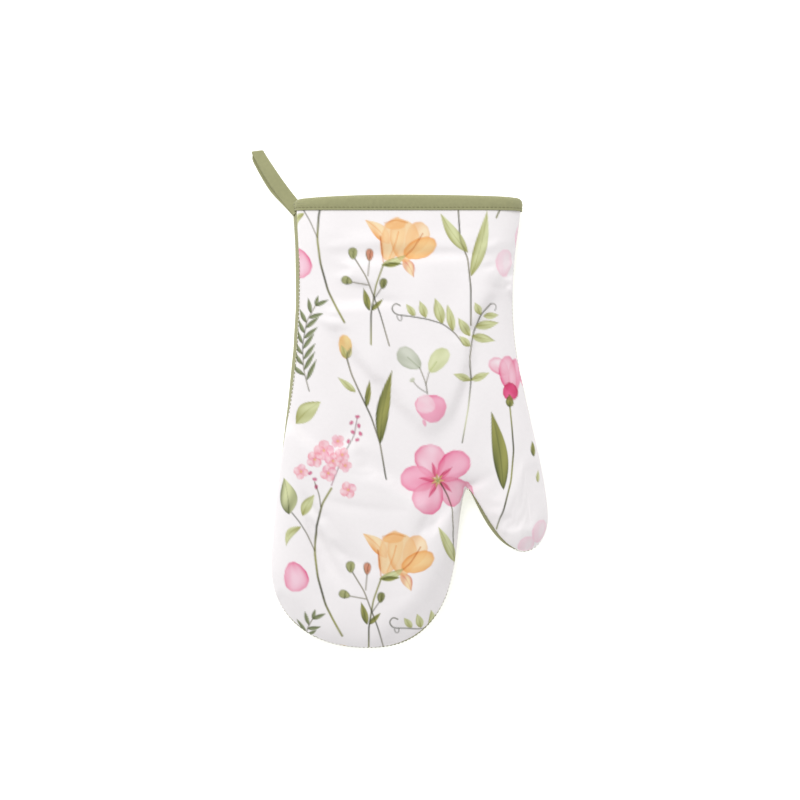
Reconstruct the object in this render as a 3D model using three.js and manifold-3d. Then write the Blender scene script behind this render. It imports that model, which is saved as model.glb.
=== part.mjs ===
// An oven mitt, lying flat with its printed face up: two padded walls sewn together round the
// hand, a bias binding round the mouth and a hanging loop at the corner of the cuff.
//
// Each wall has three layers, an outer cloth panel, a sheet of wadding and a lining. They are
// nested shells of one pillow shape. The fingers, the thumb and the loop bend on fold lines, so
// every layer is cut there, with bevelled ends that leave room for the fold.
//
// Millimetres. +X is the thumb's side, +Y the cuff, +Z the printed face. The outlines are drawn
// with the fingertip at y = 0 and the middle of the cuff at x = 0; the last lines move the whole
// mitt so that its origin is the middle of its underside.

import * as THREE from "three";
import { mergeVertices } from "three/addons/utils/BufferGeometryUtils.js";
import Module from "manifold-3d";

const wasm = await Module();
wasm.setup();

// ---- driving dimensions ----
const length = 300; // fingertip to the top of the binding
const halfCuff = 74.2; // half the width of the cloth at the mouth
const cuffStraight = 282; // the sides are straight from here to the mouth
const fingerCentre = -28.9; // middle of the finger pocket
const fingerHalfWidth = 61.4;
const fingerEnd = 57; // depth of the rounded end of the finger pocket
const thumbCentre = { x: 74.5, y: 84.2 }; // middle of the thumb's rounded tip
const thumbRadius = 19.2;
const thumbInnerAngle = 214; // where the straight inner edge meets the tip's arc
const crotch = { x: 39.2, y: 106 }; // the inner corner between the thumb and the fingers
const crotchRadius = 2.2;

const halfThickness = 15; // from the seam to the flat of each face
const edgeRound = 18; // how far in from the seam the face becomes flat
const clothThick = 0.6;
const waddingThick = 4;
const liningThick = 0.5;
const layerGap = 0.3;
const seamGap = 0.45; // from the middle plane to the rim of each wall
const pinch = 2.8; // how much the binding squeezes a wall
const pinchStart = 262; // y where the squeeze begins
const pinchEnd = 288;

const bindingThick = 1.2;
const bindingReach = 9.3; // how far down the binding comes on each side
const stitchInset = 1.5; // from the binding's edge to its row of stitches
const threadRadius = 0.3;

const fingerFold = { y: 80, degrees: 80 }; // the fold line of the fingers and its travel each way
const thumbFold = { offset: 15, slant: 24.5, degrees: 60 }; // measured from the crotch
const foldGap = 0.5; // half the clearance left on a fold line

const tapeThick = 1.2;
const tapeWidth = 8.6;
const loopReach = 42.5; // hinge to the middle of the tip's bend
const loopLean = 34; // from +Y towards -X, in degrees
const loopDroop = 12.5; // below the horizontal
const eyeRadius = 3.6; // inside the bend at the tip
const loopRoot = { y: 294, clear: 2.6 }; // the hinge, and its distance from the binding

// ---- depths of the layers under the outside of the cloth ----
const waddingTop = clothThick + layerGap;
const liningTop = waddingTop + waddingThick + layerGap;
const wallThick = liningTop + liningThick;
const bindingTop = length;
const cuffEdge = length - bindingThick - layerGap; // where the wall's layers are cut off

const radians = THREE.MathUtils.degToRad;
const farOut = 400; // larger than the mitt, for cutting blocks

// ---- solids ----

/** A closed geometry as a manifold solid. */
function solidOf(geometry) {
  const bare = geometry.index ? geometry.toNonIndexed() : geometry.clone();
  bare.deleteAttribute("normal");
  bare.deleteAttribute("uv");
  const merged = mergeVertices(bare, 1e-4);
  return new wasm.Manifold(
    new wasm.Mesh({
      numProp: 3,
      vertProperties: merged.attributes.position.array,
      triVerts: new Uint32Array(merged.index.array),
    }),
  );
}

/** A manifold solid as a geometry with flat faces. */
function geometryOf(solid) {
  const mesh = solid.getMesh();
  const indexed = new THREE.BufferGeometry();
  indexed.setAttribute("position", new THREE.BufferAttribute(mesh.vertProperties, 3));
  indexed.setIndex(new THREE.BufferAttribute(mesh.triVerts, 1));
  const geometry = indexed.toNonIndexed();
  geometry.computeVertexNormals();
  return geometry;
}

/** A box from one corner to the other. */
function block(low, high) {
  const box = new THREE.BoxGeometry(high[0] - low[0], high[1] - low[1], high[2] - low[2]);
  box.translate((low[0] + high[0]) / 2, (low[1] + high[1]) / 2, (low[2] + high[2]) / 2);
  return solidOf(box);
}

/** A flat outline of [x, y] corners made as deep as the matrix's own Z from near to far. */
function prism(corners, near, far, matrix = new THREE.Matrix4()) {
  const shape = new THREE.Shape(corners.map(([x, y]) => new THREE.Vector2(x, y)));
  const geometry = new THREE.ExtrudeGeometry(shape, { depth: far - near, bevelEnabled: false });
  geometry.translate(0, 0, near);
  return solidOf(geometry.applyMatrix4(matrix));
}

/** A thread through a run of points, with closed ends. */
function threadAlong(points) {
  const section = new THREE.Shape();
  section.absarc(0, 0, threadRadius, 0, 2 * Math.PI, false);
  return new THREE.ExtrudeGeometry(section, {
    steps: points.length * 2,
    curveSegments: 3,
    bevelEnabled: false,
    extrudePath: new THREE.CatmullRomCurve3(points, false, "centripetal"),
  });
}

// ---- the outline, seen from above ----

/** The seam's line, anticlockwise: the mouth runs on past the cuff, and is cut off later. */
function mittOutline() {
  const tip = thumbCentre;
  const inner = radians(thumbInnerAngle);
  const thumbStart = {
    x: tip.x + thumbRadius * Math.cos(inner),
    y: tip.y + thumbRadius * Math.sin(inner),
  };
  const path = new THREE.Path();
  path.moveTo(-halfCuff, length + 40);
  path.lineTo(-halfCuff, cuffStraight);
  path.bezierCurveTo(-halfCuff, 255, -halfCuff + 0.5, 230, -75.5, 200);
  path.bezierCurveTo(-77, 165, -87.5, 110, fingerCentre - fingerHalfWidth, fingerEnd);
  path.absellipse(fingerCentre, fingerEnd, fingerHalfWidth, fingerEnd, Math.PI, 2 * Math.PI, false);
  path.bezierCurveTo(34.5, 76, 34.5, 90, crotch.x - crotchRadius, crotch.y - crotchRadius);
  path.quadraticCurveTo(crotch.x, crotch.y, crotch.x + crotchRadius, crotch.y - crotchRadius);
  path.lineTo(thumbStart.x, thumbStart.y);
  path.absarc(tip.x, tip.y, thumbRadius, inner, 2 * Math.PI, false);
  path.bezierCurveTo(92, 122, 70.5, 152, 70.2, 205);
  path.bezierCurveTo(70.2, 240, halfCuff, 260, halfCuff, cuffStraight);
  path.lineTo(halfCuff, length + 40);
  path.absellipse(0, length + 40, halfCuff, 50, 0, Math.PI, false);
  return path;
}

/** Points along every curve of an outline, each with the direction into the shape. */
function rimOf(path, step) {
  const curves = path.curves.filter((curve) => curve.getLength() > 0.1);
  return curves.flatMap((curve) => {
    const count = Math.max(3, Math.round(curve.getLength() / step));
    return Array.from({ length: count }, (_, i) => {
      const at = curve.getPointAt((i + 0.5) / count);
      const along = curve.getTangentAt((i + 0.5) / count);
      return { x: at.x, y: at.y, inX: -along.y, inY: along.x };
    });
  });
}

const outline = mittOutline();
const rim = rimOf(outline, 12);

// ---- the pillow ----

const riseSteps = [0, 30, 60, 90].map(radians);

/** The rim swept over the quarter ellipse of the edge, both ways, and closed by two flats. */
function cushion(half, depth) {
  const count = rim.length;
  const angles = [...riseSteps.slice(1).map((a) => -a).reverse(), ...riseSteps];
  const rings = angles.map((angle) => {
    const inset = depth + (edgeRound - depth) * (1 - Math.cos(angle));
    const rise = (half - depth) * Math.sin(angle);
    return rim.map((p) => [p.x + p.inX * inset, p.y + p.inY * inset, rise]);
  });
  const indices = [];
  for (let r = 0; r + 1 < rings.length; r++) {
    for (let i = 0; i < count; i++) {
      const a = r * count + i;
      const b = r * count + ((i + 1) % count);
      indices.push(a, b, b + count, a, b + count, a + count);
    }
  }
  const face = rings[0].map(([x, y]) => new THREE.Vector2(x, y));
  const lastRing = (rings.length - 1) * count;
  for (const [a, b, c] of THREE.ShapeUtils.triangulateShape(face, [])) {
    indices.push(lastRing + a, lastRing + b, lastRing + c);
    indices.push(a, c, b);
  }
  const geometry = new THREE.BufferGeometry();
  geometry.setAttribute("position", new THREE.Float32BufferAttribute(rings.flat(2), 3));
  geometry.setIndex(indices);
  return solidOf(geometry);
}

/** The part of a solid between two values of y. */
function between(solid, low, high) {
  return solid.intersect(block([-farOut, low, -farOut], [farOut, high, farOut]));
}

/** The whole mitt, depth under the cloth's outside: full, then a ramp, then slim in the binding. */
function pillow(depth) {
  const full = cushion(halfThickness, depth);
  const slim = cushion(halfThickness - pinch, depth);
  const ramp = wasm.Manifold.hull([
    between(full, pinchStart - 0.1, pinchStart),
    between(slim, pinchEnd, pinchEnd + 0.1),
  ]);
  return between(full, -farOut, pinchStart).add(ramp).add(between(slim, pinchEnd, farOut));
}

/** The space between two depths of the pillow, from its tip to the cuff. */
function shell(outer, inner, end) {
  return between(pillow(outer).subtract(pillow(inner)), -farOut, end);
}

// ---- the fold lines ----

const across = new THREE.Matrix4().makeBasis(
  new THREE.Vector3(0, 1, 0),
  new THREE.Vector3(0, 0, 1),
  new THREE.Vector3(1, 0, 0),
);
const slant = radians(thumbFold.slant);
const thumbOut = new THREE.Vector3(Math.cos(slant), -Math.sin(slant), 0);
const thumbLine = new THREE.Vector3(Math.sin(slant), Math.cos(slant), 0);
const thumbHinge = new THREE.Vector3(crotch.x, crotch.y, 0).addScaledVector(
  thumbOut,
  thumbFold.offset,
);
const alongThumbLine = new THREE.Matrix4()
  .makeBasis(thumbOut, new THREE.Vector3(0, 0, 1), thumbLine.clone().negate())
  .setPosition(thumbHinge);

/** The side of a fold line past gap + slope * |z|: a block with a bevelled end, facing +X. */
function pastFold(gap, degrees) {
  const slope = Math.tan(radians(degrees / 2));
  const reach = gap + Math.sign(gap) * slope * 60;
  return [
    [gap, 0],
    [reach, -60],
    [farOut, -60],
    [farOut, 60],
    [reach, 60],
  ];
}

/** The fold's own side, mirrored, for a shape that faces -Y. */
function mirrored(corners, centre) {
  return corners.map(([x, z]) => [centre - x, z]).reverse();
}

const betweenLobes = [
  [crotch.x, crotch.y],
  [crotch.x + 2, crotch.y - 10],
  [44, 40],
  [farOut, 40],
  [farOut, 260],
  [crotch.x, 260],
];
const thumbSide = prism(betweenLobes, -60, 60);

/** Everything beyond the finger fold, or beyond the palm's side of it when gap is negative. */
function fingerBlock(gap) {
  const corners = mirrored(pastFold(gap, fingerFold.degrees), fingerFold.y);
  return prism(corners, -farOut, crotch.x + 1, across);
}

/** Everything beyond the thumb fold, without the fingers. */
function thumbBlock(gap) {
  const corners = pastFold(gap, thumbFold.degrees);
  return prism(corners, -farOut, farOut, alongThumbLine).intersect(thumbSide);
}

const fingersKept = fingerBlock(foldGap);
const fingersCut = fingerBlock(-foldGap);
const thumbKept = thumbBlock(foldGap);
const thumbCut = thumbBlock(-foldGap);

const bodies = {
  palm: (solid) => solid.subtract(fingersCut).subtract(thumbCut),
  fingers: (solid) => solid.intersect(fingersKept),
  thumb: (solid) => solid.intersect(thumbKept),
};

// ---- materials ----

function cloth(colour, roughness = 0.9) {
  return new THREE.MeshStandardMaterial({ color: colour, roughness, metalness: 0 });
}

const printedCotton = cloth(0xf1ebee);
const greenCotton = cloth(0x9a9e70);
const wadding = cloth(0xf3f1ea, 1);
const liningCotton = cloth(0xe9e4d8);
const greenThread = cloth(0x8c9062, 0.8);

const mitt = new THREE.Group();

function addPiece(name, geometry, material) {
  const mesh = new THREE.Mesh(geometry, material);
  mesh.name = name;
  mitt.add(mesh);
  return mesh;
}

// ---- the two walls ----

const layers = {
  panel: { outer: 0, inner: clothThick },
  wadding: { outer: waddingTop, inner: waddingTop + waddingThick },
  lining: { outer: liningTop, inner: wallThick },
};
const walls = {
  front: block([-farOut, -farOut, seamGap], [farOut, farOut, farOut]),
  back: block([-farOut, -farOut, -farOut], [farOut, farOut, -seamGap]),
};
const layerMaterials = {
  front_panel: printedCotton,
  back_panel: greenCotton,
  front_wadding: wadding,
  back_wadding: wadding,
  front_lining: liningCotton,
  back_lining: liningCotton,
};

for (const [layer, { outer, inner }] of Object.entries(layers)) {
  const whole = shell(outer, inner, cuffEdge);
  for (const [wall, half] of Object.entries(walls)) {
    const side = whole.intersect(half);
    for (const [body, cut] of Object.entries(bodies)) {
      const material = layerMaterials[`${wall}_${layer}`];
      addPiece(`${body}_${wall}_${layer}`, geometryOf(cut(side)), material);
    }
  }
}

// ---- the binding round the mouth, and its two rows of stitches ----

const bindingOuter = -layerGap - bindingThick;
const bindingInner = wallThick + layerGap + bindingThick;
const bindingFoot = bindingTop - bindingReach;
const stitchLine = bindingFoot + stitchInset;

function bindingRing() {
  const foot = block([-farOut, bindingFoot, -farOut], [farOut, farOut, farOut]);
  const tape = shell(bindingOuter, bindingInner, bindingTop).intersect(foot);
  const wallInside = shell(-layerGap, wallThick + layerGap, bindingTop - bindingThick);
  return tape.subtract(wallInside);
}

/** A thread that runs round the mouth at one depth and stops just short of its own start. */
function stitchRing(depth) {
  const rise = halfThickness - pinch - depth;
  const corner = halfCuff - edgeRound;
  const right = riseSteps.map((a) => [
    corner + (edgeRound - depth) * Math.cos(a),
    rise * Math.sin(a),
  ]);
  const left = [...right].reverse().map(([x, z]) => [-x, z]);
  const upper = [...right, [corner / 2, rise], [0, rise], [-corner / 2, rise], ...left];
  const lower = upper.slice(1, -1).reverse().map(([x, z]) => [x, -z]);
  const start = [upper[0][0], -threadRadius * 3];
  const ring = [...upper, ...lower, start].map(([x, z]) => new THREE.Vector3(x, stitchLine, z));
  return threadAlong(ring);
}

addPiece("cuff_binding", geometryOf(bindingRing()), greenCotton);
const outerThread = bindingOuter - layerGap - threadRadius;
const innerThread = bindingInner + 3 * layerGap + threadRadius; // clear of the chords
addPiece("binding_topstitch_outer", stitchRing(outerThread), greenThread);
addPiece("binding_topstitch_inner", stitchRing(innerThread), greenThread);

// ---- the thread of the side seam, in the groove between the two walls ----

const threadInset = 0.5;

/** A tube with closed ends through a run of rim points. */
function seamThread(points) {
  const curve = new THREE.CatmullRomCurve3(points, false, "centripetal");
  const section = new THREE.Shape();
  section.absarc(0, 0, threadRadius, 0, 2 * Math.PI, false);
  return new THREE.ExtrudeGeometry(section, {
    steps: points.length * 2,
    curveSegments: 3,
    bevelEnabled: false,
    extrudePath: curve,
  });
}

/** The points of the seam between two shares of its length, moved in under the cloth's rim. */
function seamRun(from, to) {
  const count = Math.max(5, Math.round(((to - from) * outline.getLength()) / 9));
  return Array.from({ length: count }, (_, i) => {
    const share = from + ((to - from) * i) / (count - 1);
    const at = outline.getPointAt(share);
    const along = outline.getTangentAt(share);
    return new THREE.Vector3(at.x - along.y * threadInset, at.y + along.x * threadInset, 0);
  });
}

/** The share of the seam's length at which a test first holds, searching on from start. */
function shareWhere(start, test) {
  const steps = 4000;
  for (let i = Math.ceil(start * steps); i <= steps; i++) {
    if (test(outline.getPointAt(i / steps))) return i / steps;
  }
  throw new Error("the outline never gets there");
}

const threadEnd = bindingFoot - 1.5;
const pastThumbFold = (p) => new THREE.Vector3(p.x, p.y, 0).sub(thumbHinge).dot(thumbOut);
const pastFingerFold = (p) => fingerFold.y - p.y;
const cuffLeft = shareWhere(0, (p) => p.y < threadEnd);
const fingersIn = shareWhere(cuffLeft, (p) => pastFingerFold(p) > -1);
const fingersStart = shareWhere(fingersIn, (p) => pastFingerFold(p) > 1);
const fingersEnd = shareWhere(fingersStart, (p) => pastFingerFold(p) < 1);
const crotchStart = shareWhere(fingersEnd, (p) => pastFingerFold(p) < -1);
const crotchEnd = shareWhere(crotchStart, (p) => pastThumbFold(p) > -1);
const thumbStart = shareWhere(crotchEnd, (p) => pastThumbFold(p) > 1);
const thumbEnd = shareWhere(thumbStart, (p) => pastThumbFold(p) < 1);
const palmRight = shareWhere(thumbEnd, (p) => pastThumbFold(p) < -1);
const cuffRight = shareWhere(palmRight, (p) => p.y > threadEnd);

const seamThreads = {
  palm_left_seam_thread: seamRun(cuffLeft, fingersIn),
  fingers_seam_thread: seamRun(fingersStart, fingersEnd),
  crotch_seam_thread: seamRun(crotchStart, crotchEnd),
  thumb_seam_thread: seamRun(thumbStart, thumbEnd),
  palm_right_seam_thread: seamRun(palmRight, cuffRight),
};
for (const [name, points] of Object.entries(seamThreads)) {
  addPiece(name, seamThread(points), greenThread);
}

// ---- the hanging loop ----

const hingeX = -halfCuff + bindingOuter - loopRoot.clear;

/** Both legs of the tape and the bend at the tip, drawn side on: x along the loop, y across. */
function loopProfile() {
  const outer = eyeRadius + tapeThick;
  const shape = new THREE.Shape();
  shape.moveTo(-6, -tapeThick);
  shape.lineTo(8, -tapeThick);
  shape.bezierCurveTo(18, -tapeThick, 22, -outer, loopReach - outer, -outer);
  shape.absarc(loopReach - outer, 0, outer, -Math.PI / 2, Math.PI / 2, false);
  shape.bezierCurveTo(22, outer, 18, tapeThick, 8, tapeThick);
  shape.lineTo(-6, tapeThick);
  shape.closePath();
  const eye = new THREE.Path();
  eye.moveTo(12, 0);
  eye.bezierCurveTo(18, eyeRadius * 0.5, 22, eyeRadius, loopReach - outer, eyeRadius);
  eye.absarc(loopReach - outer, 0, eyeRadius, Math.PI / 2, -Math.PI / 2, true);
  eye.bezierCurveTo(22, -eyeRadius, 18, -eyeRadius * 0.5, 12, 0);
  shape.holes.push(eye);
  return shape;
}

/** The loop in its place, its root cut to a blunt wedge that can swing on the seam. */
function hangingLoop() {
  const band = new THREE.ExtrudeGeometry(loopProfile(), {
    depth: tapeWidth,
    bevelEnabled: false,
    curveSegments: 8,
  });
  band.translate(0, 0, -tapeWidth / 2);
  const lean = radians(loopLean);
  const droop = radians(loopDroop);
  const along = new THREE.Vector3(
    -Math.sin(lean) * Math.cos(droop),
    Math.cos(lean) * Math.cos(droop),
    -Math.sin(droop),
  );
  const sideways = new THREE.Vector3(Math.cos(lean), Math.sin(lean), 0);
  const up = sideways.clone().cross(along);
  const place = new THREE.Matrix4().makeBasis(along, up, sideways);
  place.setPosition(hingeX, loopRoot.y, 0);
  band.applyMatrix4(place);
  const outside = prism(
    [
      [hingeX, 0],
      [hingeX - 60, 60],
      [hingeX - 60, -60],
    ],
    -farOut,
    farOut,
    new THREE.Matrix4().makeBasis(
      new THREE.Vector3(1, 0, 0),
      new THREE.Vector3(0, 0, 1),
      new THREE.Vector3(0, -1, 0),
    ),
  );
  return solidOf(band).intersect(outside);
}

addPiece("hanging_loop", geometryOf(hangingLoop()), greenCotton);

// The bar tack is the block of zigzag stitches that holds the loop's root to the binding.
const barTack = { wide: 0.9, long: 5.4, thick: 1, y: stitchLine + 3.8 };
addPiece(
  "loop_bar_tack",
  new THREE.BoxGeometry(barTack.wide, barTack.long, barTack.thick),
  greenThread,
).position.set(hingeX + loopRoot.clear - layerGap - barTack.wide / 2, barTack.y, 0);

// ---- the origin: the middle of the underside ----

const box = new THREE.Box3().setFromObject(mitt);
const middle = box.getCenter(new THREE.Vector3());
mitt.position.set(-middle.x, -middle.y, -box.min.z);
mitt.updateMatrixWorld(true);

export default mitt;
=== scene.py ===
import bpy
import numpy as np
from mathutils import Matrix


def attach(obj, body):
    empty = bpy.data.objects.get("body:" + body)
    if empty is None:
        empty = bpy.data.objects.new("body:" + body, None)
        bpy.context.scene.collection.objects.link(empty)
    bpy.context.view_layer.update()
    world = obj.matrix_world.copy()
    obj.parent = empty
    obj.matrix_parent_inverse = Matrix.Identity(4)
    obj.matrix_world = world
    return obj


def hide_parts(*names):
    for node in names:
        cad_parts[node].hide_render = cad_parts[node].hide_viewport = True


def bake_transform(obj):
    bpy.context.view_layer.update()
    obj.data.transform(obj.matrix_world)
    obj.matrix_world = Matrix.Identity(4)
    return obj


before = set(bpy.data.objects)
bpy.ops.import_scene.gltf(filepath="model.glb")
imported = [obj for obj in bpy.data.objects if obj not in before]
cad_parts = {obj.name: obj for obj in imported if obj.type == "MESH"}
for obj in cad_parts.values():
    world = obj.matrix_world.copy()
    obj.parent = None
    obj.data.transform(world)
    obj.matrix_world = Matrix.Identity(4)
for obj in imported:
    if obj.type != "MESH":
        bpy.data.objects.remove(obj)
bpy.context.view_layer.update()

# ---- The shape of the mitt ----
# Two padded walls are sewn together face to face round the hand and turned out, so the seam lies
# in a groove between two soft rolls. The green wall is cut a little fuller, and rolls up over the
# seam along the cuff's left side and inside the thumb.

MM = 0.001
TOP = 28.0  # the printed face's height over the worktop, in millimetres as all lengths here
MIDDLE = 14.0  # the height of the widest part of the side
SQUARENESS = 2 / 2.3  # power of the rounded edge; 1 is an ellipse
EDGE = 24.0  # how far in from the side the roll goes on
STRIP = 12.0  # the part of it that has its own rows
ROWS = 7
OVERHANG = 0.9  # how far the printed wall swells out over the seam

# The widest line of the mitt as Bezier curves, anticlockwise from the cuff's left corner. Each
# line gives a curve's two handles and its end.
CUFF_LEFT = (-71.4, 131)
OUTLINE = [
    [(-70, 105), (-69, 70), (-71.7, 33)],
    [(-75.6, -15), (-84.4, -75), (-85.4, -110)],
    [(-85.4, -144), (-61, -165.3), (-22, -165.3)],
    [(19, -166), (33.5, -140), (37.9, -96)],
    [(39, -84), (41, -59.6), (44.6, -59.6)],
    [(47.5, -59.6), (58.5, -101), (81, -101)],
    [(90.5, -101), (97.9, -92.5), (97.9, -78)],
    [(97.9, -55), (88, -20), (79.6, 20)],
    [(76.5, 35), (74.9, 50), (74.9, 66)],
    [(74.9, 90), (78.5, 112), (80.2, 131)],
]
CROTCH = (44.6, -59.6)
# The corners that divide the line into sides, and the number of cells on each side.
CUFF_RIGHT = (80.2, 131)
CORNERS = [
    CUFF_LEFT, (-67.5, -151.4), (22.6, -147.2), CROTCH,
    (81, -101), (97.9, -78), (79.6, 20), CUFF_RIGHT,
]
CELLS = [100, 42, 42, 28, 18, 28, 40]
LEFT, TIP, INNER, THUMB_IN, THUMB_TIP, THUMB_OUT, RIGHT = range(7)
LEFT_ROLL = 3.3  # how far in the seam lies beside the cuff
THUMB_ROLL = 2.9  # and inside the thumb
TIP_ROLL = 1.3  # and round the fingertips
LOWEST = 0.05  # the underside's least height over the worktop


def bezier(start, curve):
    """Points of the cubic: the four control points, weighted by the Bernstein polynomials."""
    a, b, c, d = (np.array(p, float) for p in (start, *curve))
    t = np.linspace(0, 1, 120, endpoint=False)[:, None]
    return (1 - t) ** 3 * a + 3 * t * (1 - t) ** 2 * b + 3 * t * t * (1 - t) * c + t**3 * d


def unit(v):
    return v / np.maximum(np.linalg.norm(v, axis=-1, keepdims=True), 1e-12)


def smooth(x):
    """The smooth step: 0 below 0, 1 above 1, and 3x^2 - 2x^3 between them."""
    x = np.clip(x, 0, 1)
    return x * x * (3 - 2 * x)


def along(points):
    """The length of a line of points up to each of them."""
    return np.concatenate([[0], np.cumsum(np.linalg.norm(np.diff(points, axis=0), axis=1))])


def resample(values, at, where):
    """Every column of values, read where 'at' reaches the wanted numbers."""
    return np.stack([np.interp(where, at, column) for column in values.T], axis=1)


curve_ends = [CUFF_LEFT] + [curve[-1] for curve in OUTLINE]
side = np.vstack([bezier(a, c) for a, c in zip(curve_ends, OUTLINE)] + [np.array(curve_ends[-1:], float)])
side = resample(side, along(side), np.linspace(0, along(side)[-1], 3200))
slope = unit(np.gradient(side, axis=0))
inward = np.stack([-slope[:, 1], slope[:, 0]], axis=1)
corner_at = [int(np.argmin(np.hypot(*(side - c).T))) for c in CORNERS]
inset = LEFT_ROLL * smooth((side[:, 1] + 70) / 100) * (side[:, 0] < 0)
inset += TIP_ROLL * smooth((-side[:, 1] - 125) / 30)
thumb_in = slice(corner_at[THUMB_IN], corner_at[THUMB_TIP])
thumb_share = np.linspace(0, 1, thumb_in.stop - thumb_in.start)
inset[thumb_in] += THUMB_ROLL * np.sin(np.pi * thumb_share) ** 0.7
side = np.column_stack([side, inset, inward])  # x, y, inset, inward x, inward y
near_line = side[::16]  # enough of its points to measure distances to it

# Even cells along a line halfway across the roll, so that the crotch's fan gets its share.
halfway = along(side[:, :2] + STRIP / 2 * inward)
sides = [
    resample(side[a : b + 1], halfway[a : b + 1], np.linspace(halfway[a], halfway[b], n + 1))
    for a, b, n in zip(corner_at, corner_at[1:], CELLS)
]
rim = np.vstack([part[:-1] for part in sides] + [sides[-1][-1:]])


def roll(angle):
    """How far in from the side, and how far up or down, a rounded edge is at an angle: the sides
    of a superellipse one edge wide and one unit high."""
    inwards = EDGE * (1 - np.abs(np.cos(angle)) ** SQUARENESS)
    return inwards, np.sign(angle) * np.abs(np.sin(angle)) ** SQUARENESS


def angle_at(inwards):
    """The angle at which the roll has come that far in."""
    return np.arccos(np.clip(1 - inwards / EDGE, 0, 1) ** (1 / SQUARENESS))


def seam_height(distance):
    """The seam lies on the green wall's roll, that far in from the side."""
    return MIDDLE + MIDDLE * roll(angle_at(distance))[1]


def strip(front):
    """Rows of points from the seam in to STRIP: the foot on the side line, plus the inward
    direction times the distance of the roll."""
    sewn = rim[:, 2]
    share = np.linspace(0, 1, ROWS + 1)[None, :]
    if front:
        inwards, up = roll(share * angle_at(STRIP))
        distance = sewn[:, None] + inwards - OVERHANG * np.sin(np.pi * np.clip(share * 2, 0, 1))
        low = seam_height(sewn)[:, None]
        height = low + (TOP - low) * up
    else:
        start, end = angle_at(sewn)[:, None], -angle_at(STRIP + sewn)[:, None]
        distance, up = roll(start + (end - start) * share)
        height = MIDDLE + MIDDLE * up
    plan = rim[:, None, :2] + rim[:, None, 3:5] * distance[:, :, None]
    return np.dstack([plan, height])


def patch(top, bottom, left, right):
    """The Coons patch: the two ruled surfaces between opposite sides, added, less the bilinear
    surface of the corners."""
    u = np.linspace(0, 1, len(top))[None, :, None]
    v = np.linspace(0, 1, len(left))[:, None, None]
    ruled = (1 - v) * top[None] + v * bottom[None] + (1 - u) * left[:, None] + u * right[:, None]
    flat = (1 - u) * (1 - v) * top[0] + u * (1 - v) * top[-1] + (1 - u) * v * bottom[0] + u * v * bottom[-1]
    return ruled - flat


starts = np.concatenate([[0], np.cumsum(CELLS)])


def patches(ring):
    """The hand's and the thumb's Coons patches inside a ring of values, with straight lines
    across the mouth and from the thumb's root to the crotch."""
    part = [ring[starts[k] : starts[k + 1] + 1] for k in range(7)]
    split = np.linspace(part[RIGHT][0], part[INNER][-1], CELLS[THUMB_TIP] + 1)
    mouth = np.linspace(part[LEFT][0], part[RIGHT][-1], CELLS[TIP] + 1)
    right = np.vstack([part[RIGHT][::-1], split[1:-1], part[INNER][::-1]])
    return [
        patch(mouth, part[TIP], part[LEFT], right),
        patch(split[::-1], part[THUMB_TIP], part[THUMB_IN], part[THUMB_OUT][::-1]),
    ]


def inner_height(plan, front):
    """The height of the wall inside the strip, from the distance to the side."""
    flat = plan.reshape(-1, 2)
    gap = np.linalg.norm(flat[:, None] - near_line[None, :, :2], axis=2)
    sewn = near_line[gap.argmin(axis=1), 2]
    inwards = gap.min(axis=1) - (sewn if front else 0)
    up = roll(angle_at(np.clip(inwards, 0, EDGE)))[1]
    low = seam_height(sewn) if front else MIDDLE
    height = low + (TOP - low) * up if front else MIDDLE - MIDDLE * up
    return height.reshape(plan.shape[:-1])


def quads(rows, columns, offset, flip):
    """The faces of a grid of points, as four corners each."""
    i = np.arange(rows * columns).reshape(rows, columns) + offset
    faces = np.stack([i[:-1, :-1], i[1:, :-1], i[1:, 1:], i[:-1, 1:]], axis=-1).reshape(-1, 4)
    return faces[:, ::-1] if flip else faces


FRONT_HAND, FRONT_THUMB, BACK_HAND, BACK_THUMB = range(4)  # the cut parts, as material slots


def inner_grids(front):
    """The hand's and the thumb's points inside the strip. Their heights take up what they differ
    from the strip's last row."""
    ring = strip(front)[:, -1]
    plans = patches(ring[:, :2])
    gaps = patches((ring[:, 2] - inner_height(ring[:, :2], front))[:, None])
    return [np.dstack([p, inner_height(p, front) + g[:, :, 0]]) for p, g in zip(plans, gaps)]


def wall(front):
    """The points, faces and the part of each face of one wall: its strip and its two patches."""
    rolled = strip(front)
    inner = inner_grids(front)
    hand, thumb = (FRONT_HAND, FRONT_THUMB) if front else (BACK_HAND, BACK_THUMB)
    grids = [
        (rolled[: starts[THUMB_IN] + 1], hand),
        (rolled[starts[THUMB_IN] : starts[RIGHT] + 1], thumb),
        (rolled[starts[RIGHT] :], hand),
        (inner[0], hand),
        (inner[1], thumb),
    ]
    points, faces, part = [], [], []
    count = 0
    for grid, which in grids:
        points.append(grid.reshape(-1, 3))
        faces.append(quads(*grid.shape[:2], count, not front))
        part.append(np.full(len(faces[-1]), which))
        count += len(points[-1])
    return np.vstack(points), np.vstack(faces), np.concatenate(part)


CUFF_SQUEEZE = 0.10  # the binding holds the mouth this much flatter
CREASE_END = (64, -49)  # the soft crease that runs in from the crotch
CREASE_DEPTH = 3.2


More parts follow.
